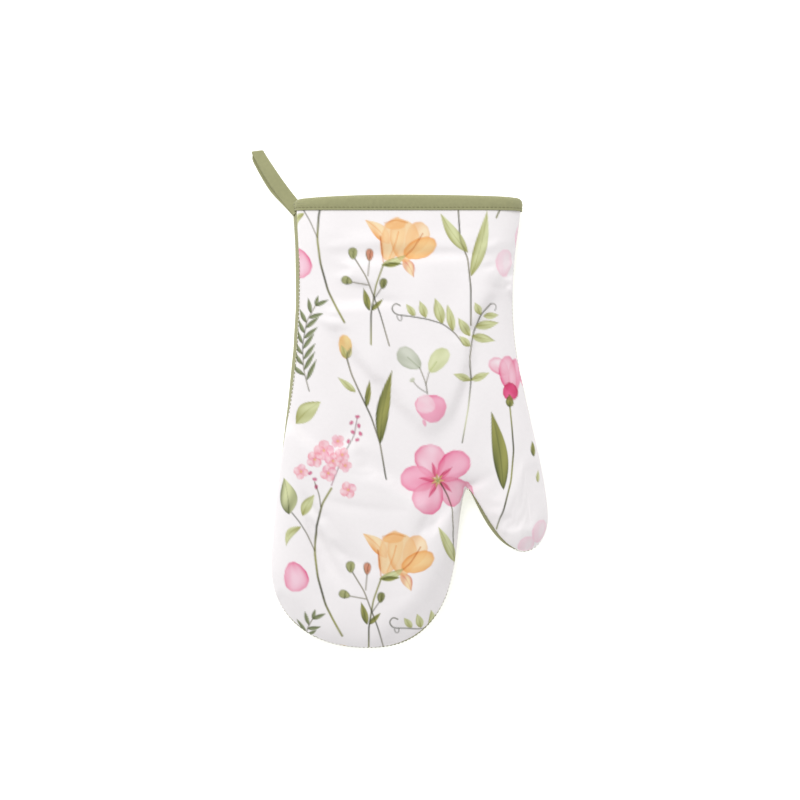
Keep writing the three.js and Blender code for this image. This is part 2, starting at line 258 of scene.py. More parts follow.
def soften(points):
    """The flatter mouth, the crease at the crotch, and slow waves of a few tenths of a millimetre
    as hand-sewn wadding has."""
    x, y, z = points.T
    high = np.clip((z - MIDDLE) / MIDDLE, -1, 1)
    waves = 0.45 * np.sin(x / 17 + 0.6 * np.sin(y / 31)) * np.sin(y / 23 + 1.1)
    waves += 0.25 * np.sin(x / 7.3 - y / 11)
    inside = 1 - smooth((y - 100) / 28)
    run = np.subtract(CREASE_END, CROTCH)
    share = np.clip(((points[:, :2] - CROTCH) @ run) / (run @ run), 0, 1)
    off = np.linalg.norm(points[:, :2] - CROTCH - share[:, None] * run, axis=1)
    crease = CREASE_DEPTH * (1 - share) * np.exp(-((off / 2.6) ** 2))
    lower = waves * inside * high**4 * np.sign(high) - crease * np.clip(high, 0, 1)
    squeezed = MIDDLE + (z - MIDDLE) * (1 - CUFF_SQUEEZE * (1 - inside)) + lower
    return np.column_stack([x, y, np.maximum(squeezed, LOWEST)])


def mesh_object(name, points, faces, material=None):
    """A smooth mesh object at the origin, from points in millimetres."""
    mesh = bpy.data.meshes.new(name)
    mesh.from_pydata((points * MM).tolist(), [], faces.tolist())
    mesh.polygons.foreach_set("use_smooth", np.ones(len(faces), bool))
    if material:
        mesh.materials.append(material)
    mesh.update()
    made = bpy.data.objects.new(name, mesh)
    bpy.context.scene.collection.objects.link(made)
    return made


def coordinates(mesh):
    flat = np.empty(len(mesh.vertices) * 3)
    mesh.vertices.foreach_get("co", flat)
    return flat.reshape(-1, 3) / MM


front_points, front_faces, front_part = wall(True)
back_points, back_faces, back_part = wall(False)
bag_points = np.vstack([front_points, back_points])
bag_faces = np.vstack([front_faces, back_faces + len(front_points)])
bag_part = np.concatenate([front_part, back_part])
_, first, index = np.unique(np.round(bag_points, 2), axis=0, return_index=True, return_inverse=True)
index = index.reshape(-1)
bag_points = soften(bag_points[first])
bag_faces = index[bag_faces]
seam_points = np.intersect1d(index[: len(front_points)], index[len(front_points) :])

# ---- Filling the bag ----
# The empty bag is blown up a little by a cloth simulation, with its mouth held as the binding
# holds it and its seam drawn in as thread draws it. Its moves are capped, so the outline stays.

FRAMES = 20
PRESSURE = 2.1
SEAM_SHRINK = 0.10
CAP_ACROSS = 1.2
CAP_UP = 2.2
HELD_ABOVE = 122.0
EASE = 45.0  # under the held mouth, the length over which the moves set in


def filled(points, faces):
    """The points after some frames of pressure, no further than the caps from where they were."""
    bag = mesh_object("bag", points, faces)
    held = bag.vertex_groups.new(name="held")
    held.add(np.flatnonzero(points[:, 1] > HELD_ABOVE).tolist(), 1.0, "REPLACE")
    seam = bag.vertex_groups.new(name="seam")
    seam.add(seam_points.tolist(), 1.0, "REPLACE")
    cloth = bag.modifiers.new("cloth", "CLOTH")
    cloth.settings.vertex_group_mass = "held"
    cloth.settings.vertex_group_shrink = "seam"
    cloth.settings.shrink_max = SEAM_SHRINK
    cloth.settings.use_pressure = True
    cloth.settings.uniform_pressure_force = PRESSURE
    cloth.settings.quality = 6
    cloth.settings.tension_stiffness = 40
    cloth.settings.bending_stiffness = 2
    cloth.settings.effector_weights.gravity = 0
    cloth.collision_settings.use_collision = False
    cloth.collision_settings.use_self_collision = False
    cloth.point_cache.frame_start = 1
    cloth.point_cache.frame_end = FRAMES
    for number in range(1, FRAMES + 1):
        bpy.context.scene.frame_set(number)
    evaluated = bag.evaluated_get(bpy.context.evaluated_depsgraph_get())
    moved = coordinates(evaluated.data) - points
    bpy.context.scene.frame_set(1)
    bpy.data.objects.remove(bag)
    across = np.linalg.norm(moved[:, :2], axis=1, keepdims=True)
    moved[:, :2] *= np.minimum(1, CAP_ACROSS / np.maximum(across, 1e-9))
    moved[:, 2] = CAP_UP * np.tanh(moved[:, 2] / CAP_UP)
    moved *= smooth((HELD_ABOVE - points[:, 1:2]) / EASE)
    settled = points + moved
    settled[:, 2] = np.maximum(settled[:, 2], LOWEST)
    return settled


bag_points = filled(bag_points, bag_faces)


def subdivided(points, faces, part, levels):
    """The Catmull-Clark limit surface of a mesh, as points, normals, faces and each face's part."""
    rough = mesh_object("rough", points, faces)
    for _ in range(4):
        rough.data.materials.append(None)
    rough.data.polygons.foreach_set("material_index", part.astype(np.int32))
    modifier = rough.modifiers.new("subdivision", "SUBSURF")
    modifier.levels = modifier.render_levels = levels
    fine = rough.evaluated_get(bpy.context.evaluated_depsgraph_get()).data
    new_points = coordinates(fine)
    normals = np.empty(len(fine.vertices) * 3)
    fine.vertex_normals.foreach_get("vector", normals)
    corners = np.empty(len(fine.loops), np.int32)
    fine.loops.foreach_get("vertex_index", corners)
    which = np.empty(len(fine.polygons), np.int32)
    fine.polygons.foreach_get("material_index", which)
    bpy.data.objects.remove(rough)
    return new_points, normals.reshape(-1, 3), corners.reshape(-1, 4), which


def cut(name, surface, which, material):
    """One cut part of a wall's outside as an object. Its normals come along, as they are where it
    meets its neighbours."""
    points, normals, faces, part = surface
    used, places = np.unique(faces[part == which], return_inverse=True)
    made = mesh_object(name, points[used], places.reshape(-1, 4), material)
    made.data.normals_split_custom_set_from_vertices(normals[used].tolist())
    return made


coarse = subdivided(bag_points, bag_faces, bag_part, 1)
fine = subdivided(bag_points, bag_faces, bag_part, 2)


def cut_under(name, which, material, depth):
    """One cut part of a layer so deep under the outside: drawn towards the middle height, and near
    the side also straight in from it."""
    points, _, faces, part = coarse
    used, places = np.unique(faces[part == which], return_inverse=True)
    plan, height = points[used, :2], points[used, 2]
    gap = np.linalg.norm(plan[:, None] - near_line[None, :, :2], axis=2)
    close = 1 - smooth((gap.min(axis=1) - 4) / (EDGE - 4))
    plan = plan + near_line[gap.argmin(axis=1), 3:5] * (depth * close)[:, None]
    height = MIDDLE + (height - MIDDLE) * (1 - depth / MIDDLE)
    return mesh_object(name, np.column_stack([plan, height]), places.reshape(-1, 4), material)


# ---- Cotton and thread ----
# Plain-woven cotton: the two sets of threads stand up by turns, so the weave is two crossed waves
# with some unevenness, and its colour drifts a little from thread to thread.


def linear(red, green, blue):
    """A display colour of 0 to 255 as linear light."""
    c = np.array([red, green, blue]) / 255
    return np.where(c <= 0.04045, c / 12.92, ((c + 0.055) / 1.055) ** 2.4)


def node(tree, kind, **values):
    made = tree.nodes.new(kind)
    for key, value in values.items():
        setattr(made, key, value)
    return made


def cotton(name, colour, thread_pitch=0.55, drift=0.10, relief=0.25, painted=False):
    """A woven cloth. A painted one takes its colour from the piece's own colour attribute."""
    material = bpy.data.materials.new(name)
    material.use_nodes = True
    tree = material.node_tree
    link = tree.links.new
    shader = tree.nodes["Principled BSDF"]
    shader.inputs["Roughness"].default_value = 0.88
    shader.inputs["Specular IOR Level"].default_value = 0.18
    shader.inputs["Sheen Weight"].default_value = 0.12
    shader.inputs["Sheen Roughness"].default_value = 0.6
    place = node(tree, "ShaderNodeTexCoord")
    waves = []
    for direction in ("X", "Y"):
        wave = node(tree, "ShaderNodeTexWave", bands_direction=direction)
        wave.inputs["Scale"].default_value = 0.314 / (thread_pitch * MM)
        wave.inputs["Distortion"].default_value = 0.6
        link(place.outputs["Object"], wave.inputs["Vector"])
        waves.append(wave)
    weave = node(tree, "ShaderNodeMath", operation="MULTIPLY")
    link(waves[0].outputs["Fac"], weave.inputs[0])
    link(waves[1].outputs["Fac"], weave.inputs[1])
    slubs = node(tree, "ShaderNodeTexNoise")
    slubs.inputs["Scale"].default_value = 420
    slubs.inputs["Detail"].default_value = 4
    link(place.outputs["Object"], slubs.inputs["Vector"])
    height = node(tree, "ShaderNodeMath", operation="ADD")
    link(weave.outputs[0], height.inputs[0])
    link(slubs.outputs["Fac"], height.inputs[1])
    bump = node(tree, "ShaderNodeBump")
    bump.inputs["Strength"].default_value = relief
    bump.inputs["Distance"].default_value = 0.15 * MM
    link(height.outputs[0], bump.inputs["Height"])
    link(bump.outputs["Normal"], shader.inputs["Normal"])
    shade = node(tree, "ShaderNodeMapRange")
    shade.inputs["To Min"].default_value = 1 - drift
    shade.inputs["To Max"].default_value = 1 + drift
    link(slubs.outputs["Fac"], shade.inputs["Value"])
    tint = node(tree, "ShaderNodeVectorMath", operation="SCALE")
    tint.inputs["Vector"].default_value = colour
    link(shade.outputs["Result"], tint.inputs["Scale"])
    if painted:
        paint = node(tree, "ShaderNodeAttribute", attribute_name="print")
        link(paint.outputs["Color"], tint.inputs["Vector"])
    link(tint.outputs["Vector"], shader.inputs["Base Color"])
    return material


printed_cotton = cotton("printed cotton", (1, 1, 1), drift=0.02, relief=0.18, painted=True)
green_cotton = cotton("green cotton", linear(158, 158, 118))
lining_cotton = cotton("lining cotton", linear(234, 229, 214))
green_thread = cotton("green thread", linear(140, 138, 100), thread_pitch=0.3, drift=0.15)

# ---- The front panel ----
# Printed cotton, one cut shape, made as two pieces that meet edge to edge from the thumb's outer side to
# the crotch: the hand's and the thumb's. The two functions below only bake a piece's placement into its
# points.


def bend_hand(piece):
    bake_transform(piece)


def bend_thumb(piece):
    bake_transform(piece)


# The print is painted on the cloth in thin transparent colours, so where two strokes cross they
# multiply. It repeats down the cloth. Each spray is drawn in millimetres about its own origin.

PAPER = linear(246, 242, 243)
PEACH, APRICOT, CORAL, BUTTER = (250, 222, 180), (233, 158, 84), (212, 110, 98), (240, 214, 152)
BLUSH, PINK, ROSE, MAGENTA = (251, 231, 236), (247, 186, 207), (228, 88, 140), (192, 30, 84)
LIME, OLIVE, MOSS, TWIG = (213, 217, 168), (158, 158, 90), (84, 92, 54), (142, 136, 112)
DARK_STEM = (78, 80, 62)
SILVER, SAGE, PLUM = (214, 217, 203), (150, 158, 132), (150, 62, 100)
BUD_GREEN, FOLD = (182, 184, 132), (196, 128, 72)
REPEAT = np.array([-1.5, -206.0])  # from one row of sprays to the next


def stain(ink, cover, colour, dark, tone, opaque=0.0):
    """Multiplies the ink under a stroke by its colour, which runs from light to dark by tone. An
    opaque stroke hides that much of what is under it."""
    tone = np.clip(tone, 0, 1)[:, None]
    cover = cover[:, None]
    light, deep = (np.minimum(linear(*c) / PAPER, 1) for c in (colour, dark))
    pigment = light * (1 - tone) + deep * tone
    under = ink + (1 - ink) * opaque
    ink += cover * (under * pigment - ink)


def leaf(p, ink, base, tip, width, colour=LIME, dark=OLIVE, bend=0.0):
    """A leaf: half as wide as a sine of the share of its length, bent by another sine. Its
    midrib, its one edge and its foot are darker."""
    run = np.subtract(tip, base)
    length = np.hypot(*run)
    ahead = run / length
    q = p - base
    u = q @ ahead / length
    inside = np.clip(u, 0, 1)
    v = q @ np.array([-ahead[1], ahead[0]]) - bend * np.sin(np.pi * inside)
    half = width / 2 * np.sin(np.pi * inside**0.8)
    share = v / np.maximum(half, 0.05)
    cover = np.clip((half - np.abs(v)) / 0.6 + 0.4, 0, 1) * (u > 0) * (u < 1)
    tone = 0.05 + 0.7 * np.clip(share, 0, 1) ** 2 + 0.6 * (1 - inside) ** 3 + 0.4 * np.exp(-((v / 0.4) ** 2))
    tone += 0.25 * np.clip(-share, 0, 1) ** 6 + 0.2 * np.sin(7 * u + 3 * share + width)
    stain(ink, cover, colour, dark, tone, 0.6)


def petal(p, ink, centre, length, width, degrees, colour=PINK, dark=ROSE, rim=0.5):
    """A petal: an ellipse that widens outwards, with a wavy edge, fine streaks and a darker rim."""
    turn = np.radians(degrees)
    q = p - centre
    u = (q @ np.array([np.cos(turn), np.sin(turn)])) / (length / 2)
    v = (q @ np.array([-np.sin(turn), np.cos(turn)])) / (width / 2) / (0.95 + 0.16 * np.clip(u, -1, 1))
    r = np.hypot(u, v)
    around = np.arctan2(v, u)
    r = r * (1 + 0.025 * np.sin(3 * around + length) + 0.012 * np.sin(11 * around + width))
    cover = np.clip((1 - r) * width / 2 / 0.7 + 0.3, 0, 1)
    blotch = 0.17 * np.sin(2.6 * u + width) * np.sin(3.1 * v + length) + 0.05 * np.sin(13 * v / (1.7 + u))
    tone = 0.12 + rim * (0.7 * np.clip(r, 0, 1) ** 7 + 0.45 * np.clip(v, 0, 1) ** 2) + blotch
    stain(ink, cover, colour, dark, tone + 0.18 * np.clip(-u, 0, 1), 0.72)


def stem(p, ink, points, width=0.9, colour=TWIG, dark=DARK_STEM):
    """A stem: a smooth line through its points, that changes between its two colours as it goes."""
    at = along(np.array(points, float))
    fine_at = np.linspace(0, at[-1], max(8, int(at[-1] / 1.2)))
    line = resample(np.array(points, float), at, fine_at)
    for _ in range(4):
        line[1:-1] = (line[:-2] + 2 * line[1:-1] + line[2:]) / 4
    low, high = line.min(axis=0) - 2, line.max(axis=0) + 2
    near = np.flatnonzero(np.all((p > low) & (p < high), axis=1))
    a, run = line[:-1], np.diff(line, axis=0)
    q = p[near, None] - a
    share = np.clip((q * run).sum(axis=2) / (run**2).sum(axis=1), 0, 1)
    off = np.linalg.norm(q - share[:, :, None] * run, axis=2).min(axis=1) if len(near) else np.empty(0)
    part = ink[near]
    drawn = max(width, 1.0)
    cover = np.clip(1.3 - off / (0.55 * drawn), 0, 1) * min(1, 0.25 + 0.75 * width / drawn)
    stain(part, cover, colour, dark, 0.55 + 0.45 * np.sin(p[near, 1] / 7 + width))
    ink[near] = part


def leafy(p, ink, points, reach, width, pairs, colour=LIME, dark=OLIVE, lean=38):
    """A stem with leaflets by turns on either side, shorter towards its tip."""
    stem(p, ink, points, 0.7)
    line = np.array(points, float)
    at = along(line)
    for k in range(2 * pairs):
        where = at[-1] * (0.12 + 0.84 * k / (2 * pairs))
        foot, further = resample(line, at, np.array([where, where + 1.0]))
        way = np.arctan2(*(further - foot)[::-1]) + np.radians(lean) * (1 if k % 2 else -1)
        size = reach * (1 - 0.35 * k / (2 * pairs))
        leaf(p, ink, foot, foot + size * np.array([np.cos(way), np.sin(way)]), width, colour, dark)


def orange_flower(p, ink):
    """A bell of six petals with its calyx, and a sprig of four buds on a forked stem."""
    stem(p, ink, [(-12, -10), (-17, -24), (-20, -42), (-20, -62)], 1.2, OLIVE)
    stem(p, ink, [(-31, -5), (-23, -18), (-14, -42), (-8, -63)], 0.9)
    stem(p, ink, [(-21, -6), (-22, -17)], 0.7)
    stem(p, ink, [(-33, -21), (-22, -23)], 0.7)
    stem(p, ink, [(-13, -25), (-18, -32)], 0.7)
    for x, y, length, width, turn, colour in (
        (-32, -2, 8, 6.5, 95, BUD_GREEN), (-21, -3, 8.5, 5.5, 90, (230, 158, 134)),
        (-36, -20, 8, 6, 160, BUD_GREEN), (-12, -22, 7.5, 5.5, 80, (150, 152, 100)),
    ):
        petal(p, ink, (x, y), length, width, turn, colour, MOSS, 1.0)
        leaf(p, ink, (x, y - 3), (x + 1, y + 3), 1.6, colour, MOSS)
    leaf(p, ink, (-21, -40), (-25, -25), 4.6, OLIVE, MOSS)
    leaf(p, ink, (-20, -40), (-12, -32), 3.4, OLIVE, MOSS)
    leaf(p, ink, (1, -6), (8, -18), 7, PEACH, CORAL, 1)
    leaf(p, ink, (-8, 4), (-24, 20), 9, PEACH, APRICOT, -1.5)
    for x, y, length, width, turn, colour, rim in (
        (10, 8, 22, 16, 66, (250, 224, 190), 0.5), (-6, 7, 30, 16, 74, PEACH, 0.5),
        (2, 6, 28, 20, 94, PEACH, 0.45),
        (12, 1, 23, 14, 22, (248, 210, 154), 0.9), (-4, 17, 15, 7, 8, (248, 208, 156), 0.6)
    ):
        petal(p, ink, (x, y), length, width, turn, colour, APRICOT, rim)
    stem(p, ink, [(14, 11), (11, 6), (7, 0), (1, -5)], 0.6, APRICOT, FOLD)
    stem(p, ink, [(-14, 9), (-13, 2), (-12, -8)], 0.6, APRICOT, FOLD)
    stem(p, ink, [(-11, 18), (-4, 20), (4, 18)], 0.5, PEACH, FOLD)
    stem(p, ink, [(-2, 12), (-4, 4), (-8, -5)], 0.4, PEACH, APRICOT)
    leaf(p, ink, (-13, -10), (3, -3), 6, LIME, OLIVE, -1.5)
    leaf(p, ink, (-12, -10), (1, -9), 3, OLIVE, MOSS)


def blossom(p, ink):
    """A loose head of four-petalled florets and dark buds over a long stem with two round leaves."""
    stem(p, ink, [(19, 27), (17, 15), (10, 2), (2, -18)], 0.5, PLUM)
    heads = [
        (-3, 5, 6), (-9, -1, 5), (3, -2, 5), (0, -10, 5), (9, 2, 4.5),
        (11, -5, 4), (6, 11, 4), (-18, -9, 4.5), (13, -21, 5),
    ]
    for order, (x, y, size) in enumerate(heads):
        for quarter in range(4):
            turn = 90 * quarter + 37 * order
            way = np.array([np.cos(np.radians(turn)), np.sin(np.radians(turn))])
            dark = (232, 92, 122) if (order + quarter) % 3 else ROSE
            centre = np.array([x, y]) + way * size * 0.5
            petal(p, ink, centre, size * 1.25, size * 1.2, turn, (250, 216, 222), dark, 0.85)
        petal(p, ink, (x, y), 2, 2, 0, BUTTER, CORAL, 0.7)
    buds = [(19, 27), (15, 23), (20, 21), (16, 17), (19, 12), (13, 11), (21, 16)]
    buds += [(-9, -14), (-12, -10), (-8, -19)]
    for order, (x, y) in enumerate(buds):
        petal(p, ink, (x, y), 3.4, 2.6, 50 * order, (224, 130, 160), PLUM, 0.9)
    main = [(2, -20), (-4, -30), (-8, -46), (-9, -62), (-7, -78), (-2, -96), (3, -106), (9, -117)]
    stem(p, ink, main, 1.5, OLIVE)
    stem(p, ink, [(-9, -16), (-6, -24), (-5, -32)], 0.7)
    stem(p, ink, [(-24, -36), (-19, -42), (-14, -50), (-9, -61)], 0.7)
    leaf(p, ink, (-26, -37), (-30, -13), 13, LIME, MOSS, -1)
    leaf(p, ink, (-17, -38), (-9, -24), 7, LIME, OLIVE, 1)
    leaf(p, ink, (-18, -45), (-28, -58), 5.5, LIME, OLIVE, -3)


def pink_flower(p, ink):
    """Five broad petals, magenta at their feet, round a greenish eye, on a stem with two blades."""
    for x, y, length, width, turn, colour in (
        (-5, 13, 22, 21, 108, (250, 212, 224)), (10, -7, 22, 19, -38, (249, 202, 217)),
        (-13, 1, 23, 18, 172, PINK), (-6, -11, 22, 22, 242, (249, 200, 216)), (10, 9, 24, 20, 42, PINK)
    ):
        petal(p, ink, (x, y), length, width, turn, colour, ROSE, 0.8)
        way = np.array([np.cos(np.radians(turn)), np.sin(np.radians(turn))])
        leaf(p, ink, way * 1, way * 13, 3.4, (240, 150, 180), MAGENTA)
    for ray in range(7):
        way = np.radians(51 * ray)
        leaf(p, ink, (0, 0), (5 * np.cos(way), 5 * np.sin(way)), 1.6, BUTTER, OLIVE)
    stem(p, ink, [(2, -2), (7, -10), (11, -20), (12, -30), (13, -48), (18, -60), (20, -80), (20, -104)], 1.1)
    leaf(p, ink, (18, -56), (0, -30), 8, LIME, OLIVE, 1)
    leaf(p, ink, (20, -72), (31, -28), 8.5, LIME, OLIVE, -1.5)


def yellow_bud(p, ink):
    """A closed bud on a long bent stem with two small leaves and a long blade."""
    petal(p, ink, (0, 0), 16, 9.5, 96, BUTTER, APRICOT, 0.5)
    leaf(p, ink, (1, -8), (-3, 1), 4, LIME, OLIVE)
    leaf(p, ink, (1, -8), (4, 0), 3.5, LIME, MOSS)
    stem(p, ink, [(1, -8), (4, -18), (9, -29), (17, -46), (23, -64), (25, -76), (27, -87)], 1.1)
    leaf(p, ink, (7, -30), (-5, -20), 4.4, LIME, OLIVE)
    leaf(p, ink, (14, -40), (16, -22), 4, OLIVE, MOSS)
    leaf(p, ink, (23, -64), (31, -15), 8.5, OLIVE, MOSS, 2)


def silver_sprig(p, ink):
    """Two round leaves over a thin sprout, and a loose petal under them."""
    petal(p, ink, (6, -6), 19, 13, 140, SILVER, SAGE, 0.5)
    petal(p, ink, (25, -7), 19, 12, 54, (224, 228, 186), (186, 192, 136), 0.4)
    stem(p, ink, [(13, -12), (5, -5)], 0.5, SILVER, SAGE)
    stem(p, ink, [(19, -15), (24, -8)], 0.5, LIME, SAGE)
    stem(p, ink, [(13, -12), (17, -22), (18, -29)], 0.7)
    stem(p, ink, [(19, -15), (17, -23)], 0.6)
    stem(p, ink, [(8, -20), (12, -25), (17, -28)], 0.5)
    petal(p, ink, (8, -20), 4, 3, 30, SILVER, OLIVE, 0.4)
    petal(p, ink, (20, -38), 21, 19, -20, PINK, ROSE, 0.55)
    petal(p, ink, (17, -36), 13, 13, 150, BLUSH, PINK, 0.3)
    petal(p, ink, (16, -48), 5, 2.4, -70, PINK, ROSE, 0.6)


def fern(p, ink):
    """A frond of narrow leaflets on a curved stem."""
    leafy(p, ink, [(3, -28), (-1, -14), (-2, 2), (1, 18), (7, 28)], 16, 3.2, 7, (150, 158, 122), MOSS, 42)
    leaf(p, ink, (7, 28), (16, 32), 3, (150, 158, 122), MOSS)
    leaf(p, ink, (7, 28), (9, 35), 2.6, (150, 158, 122), MOSS)


def vetch(p, ink):
    """An arched runner with upright leaflets and a curled tendril, and a stalk of paired ones."""
    runner = [(-34, 12), (-37, 14), (-40, 10), (-37, 6), (-28, 5), (-16, 3), (-6, 0), (2, -6), (8, -14)]
    stem(p, ink, runner, 0.8)
    stem(p, ink, [(-36, 5), (-35, 1), (-32, 2), (-33, 5)], 0.5)
    for x, y, tip_x, tip_y, width in (
        (-24, 5, -30, 13, 4.5), (-17, 4, -21, 15, 5.5), (-6, 0, -11, 17, 7), (1, -5, -3, 13, 5.5)
    ):
        leaf(p, ink, (x, y), (tip_x, tip_y), width, LIME, OLIVE)
    stem(p, ink, [(26, 13), (19, 6), (14, -7), (12, -22), (13, -36)], 1.1)
    stem(p, ink, [(13, -36), (11, -55), (7, -78)], 0.8, LIME)
    for x, y, tip_x, tip_y, width in (
        (19, 6, 15, 14, 5), (21, 5, 32, 6, 4.5), (15, -2, 32, 1, 6), (13, -8, 29, -11, 6), (12, -8, 4, 4, 6),
        (12, -15, 5, -8, 5), (13, -37, 1, -33, 5), (13, -37, 25, -32, 5)
    ):
        leaf(p, ink, (x, y), (tip_x, tip_y), width, LIME, OLIVE)
    stem(p, ink, [(26, 13), (29, 14), (31, 11), (29, 9)], 0.5)


def tulip(p, ink):
    """A cupped flower, dark red in its throat, with a calyx and a long blade beside the stem."""
    petal(p, ink, (-7, 9), 16, 11, 150, BLUSH, ROSE, 0.9)
    petal(p, ink, (5, 3), 25, 12, 78, PINK, ROSE, 0.8)
    petal(p, ink, (0, 4), 25, 15, 98, (250, 210, 222), ROSE, 0.9)
    petal(p, ink, (1, -7), 12, 13, -84, (232, 100, 146), MAGENTA, 0.9)
    leaf(p, ink, (0, -18), (0, -9), 6, OLIVE, MOSS)
    stem(p, ink, [(0, -18), (1, -30), (2, -46), (0, -66), (-5, -86), (-11, -99)], 1.2, OLIVE)
    leaf(p, ink, (-5, -72), (-13, -20), 10, OLIVE, MOSS, -1.5)


def drops(p, ink):
    """Two small buds by the thumb's edge."""
    leaf(p, ink, (-1, -5), (-1, 6), 4.6, OLIVE, MOSS)
    leaf(p, ink, (2, -22), (3, -14), 3.6, LIME, OLIVE)


def left_leaf(p, ink):
    """A single broad leaf."""
    leaf(p, ink, (-8, -7), (9, 7), 12, LIME, OLIVE, 1.2)


def edge_petal(p, ink):
    """Part of a flower that the cut edge runs through."""
    petal(p, ink, (0, 0), 20, 17, -75, (250, 208, 222), ROSE, 0.8)


def faint_petal(p, ink):
    """A petal printed very pale."""
    petal(p, ink, (0, 0), 18, 14, 85, BLUSH, PINK, 0.35)


# Each spray and the place of its origin on the cloth.
SPRAYS = [
    (orange_flower, 1, 98.5), (blossom, -47, -38), (pink_flower, 25, -53), (yellow_bud, -36, 35),
    (silver_sprig, 0, 33), (fern, -63, 34), (vetch, 34, 50), (tulip, 73, 13), (left_leaf, -61, -8),
    (edge_petal, -67, 90), (faint_petal, 70, 90), (faint_petal, 94, -88), (faint_petal, 84, -99),
    (drops, 91, -32),
]
SPRAY_REACH = 125.0  # the farthest that a spray goes from its origin
CLOTH_FALL = 0.5  # how much print the roll takes up for each millimetre that it falls


def paint_panel(panel):
    """The sprays in the panel's own colour attribute. The print follows the cloth over the roll."""
    points = coordinates(panel.data)
    normals = np.empty(len(points) * 3)
    panel.data.vertex_normals.foreach_get("vector", normals)
    outward = normals.reshape(-1, 3)[:, :2]
    flat = points[:, :2] + outward * CLOTH_FALL * np.maximum(TOP - points[:, 2:], 0)
    ink = np.ones((len(points), 3))
    for draw, x, y in SPRAYS:
        for row in (-1, 0, 1):
            local = flat - (x, y) - row * REPEAT
            near = np.flatnonzero(np.hypot(*local.T) < SPRAY_REACH)
            part = ink[near]
            draw(local[near], part)
            ink[near] = part
    mottle = 1 + 0.008 * np.sin(flat[:, :1] / 5 + np.sin(flat[:, 1:] / 7))
    colours = np.column_stack([ink * PAPER * mottle, np.ones(len(points))])
    layer = panel.data.attributes.new("print", "FLOAT_COLOR", "POINT")
    layer.data.foreach_set("color", colours.astype(np.float32).ravel())


front_hand = cut("front_panel", fine, FRONT_HAND, printed_cotton)
front_thumb = cut("front_panel_thumb", fine, FRONT_THUMB, printed_cotton)
paint_panel(front_hand)
paint_panel(front_thumb)
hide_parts("palm_front_panel", "fingers_front_panel")
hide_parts("thumb_front_panel")

# ---- The back panel ----
# Plain sage cotton, cut to the same shape and a little fuller.

back_hand = cut("back_panel", coarse, BACK_HAND, green_cotton)
back_thumb = cut("back_panel_thumb", coarse, BACK_THUMB, green_cotton)
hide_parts("palm_back_panel", "fingers_back_panel")
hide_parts("thumb_back_panel")

# ---- The wadding ----
# A sheet of white polyester wadding under each panel, sewn in with the seam. Seen only where the
# layers part inside the mouth.

WADDING_DEPTH = 3.8
WADDING_THICK = 2.4
FIBRE_COLOUR = linear(243, 241, 234)
wadding_fibre = cotton("wadding fibre", FIBRE_COLOUR, thread_pitch=1.4, drift=0.06, relief=0.6)
wadding_fibre.node_tree.nodes["Principled BSDF"].inputs["Roughness"].default_value = 1.0
CUT_PARTS = [
    (FRONT_HAND, "front"), (FRONT_THUMB, "front_thumb"),
    (BACK_HAND, "back"), (BACK_THUMB, "back_thumb"),
]
wadding = []
for which, side_name in CUT_PARTS:
    sheet = cut_under(f"wadding_{side_name}", which, wadding_fibre, WADDING_DEPTH)
    wadding.append(sheet)
    thickness = sheet.modifiers.new("thickness", "SOLIDIFY")
    thickness.thickness = WADDING_THICK * MM
    thickness.offset = 0
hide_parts("palm_front_wadding", "fingers_front_wadding")
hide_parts("thumb_front_wadding")
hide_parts("palm_back_wadding", "fingers_back_wadding")
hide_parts("thumb_back_wadding")

# ---- The lining ----
# Thin unbleached cotton inside the hand space, one sheet to each wall.

LINING_DEPTH = 5.8
lining = [cut_under(f"lining_{name}", which, lining_cotton, LINING_DEPTH) for which, name in CUT_PARTS]
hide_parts("palm_front_lining", "fingers_front_lining")
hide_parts("thumb_front_lining")
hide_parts("palm_back_lining", "fingers_back_lining")
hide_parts("thumb_back_lining")

# ---- The cuff binding ----
# Bias tape of the same sage cotton, folded over the raw edge of the mouth and sewn through.

BINDING_FOOT = 124.9  # y of its lower edge, outside and in
BINDING_CREST = 135.5  # y of its fold at the middle of the cuff
BINDING_OUT = 0.9  # its outside, over the cloth
BINDING_IN = 6.6  # its inside, under it
STITCH_UP = 1.9  # the topstitch, above the lower edge
ROUND = 14  # profile points over the fold
MOUTH_POINTS = 520
DENT = 0.35  # how far the stitches pull the tape in


def crest(x):
    """The fold's height along the cuff: parabolas that fall away to both corners."""
    return BINDING_CREST - np.where(x < -1, 0.0006, 0.00025) * (x + 1) ** 2


def mouth_loop(count):
    """The closed line of the wall's outside round the mouth, and its outward directions: the
    first and last columns of both strips and the first rows of the hand's patches."""
    front, back = strip(True), strip(False)
    across_front = inner_grids(True)[0][0, 1:-1]
    across_back = inner_grids(False)[0][0, 1:-1]
    upper = [front[0], across_front, front[-1, ::-1]]
    line = np.vstack(upper + [back[-1, 1:], across_back[::-1], back[0, ::-1]])
    line = soften(np.column_stack([line[:, 0], np.full(len(line), CUFF_LEFT[1]), line[:, 2]]))[:, [0, 2]]
    length = along(line)
    loop = resample(line, length, np.linspace(0, length[-1], count, endpoint=False))
    for _ in range(12):
        loop = (np.roll(loop, 1, axis=0) + 2 * loop + np.roll(loop, -1, axis=0)) / 4
    forward = unit(np.roll(loop, -1, axis=0) - np.roll(loop, 1, axis=0))
    return loop, np.stack([-forward[:, 1], forward[:, 0]], axis=1)


mouth, mouth_out = mouth_loop(MOUTH_POINTS)


def on_binding(offset, y):
    """Points round the mouth, so far out from the wall's outside and at those heights y."""
    flat = mouth + mouth_out * np.broadcast_to(offset, len(mouth))[:, None]
    return np.column_stack([flat[:, 0], np.broadcast_to(y, len(mouth)), flat[:, 1]])


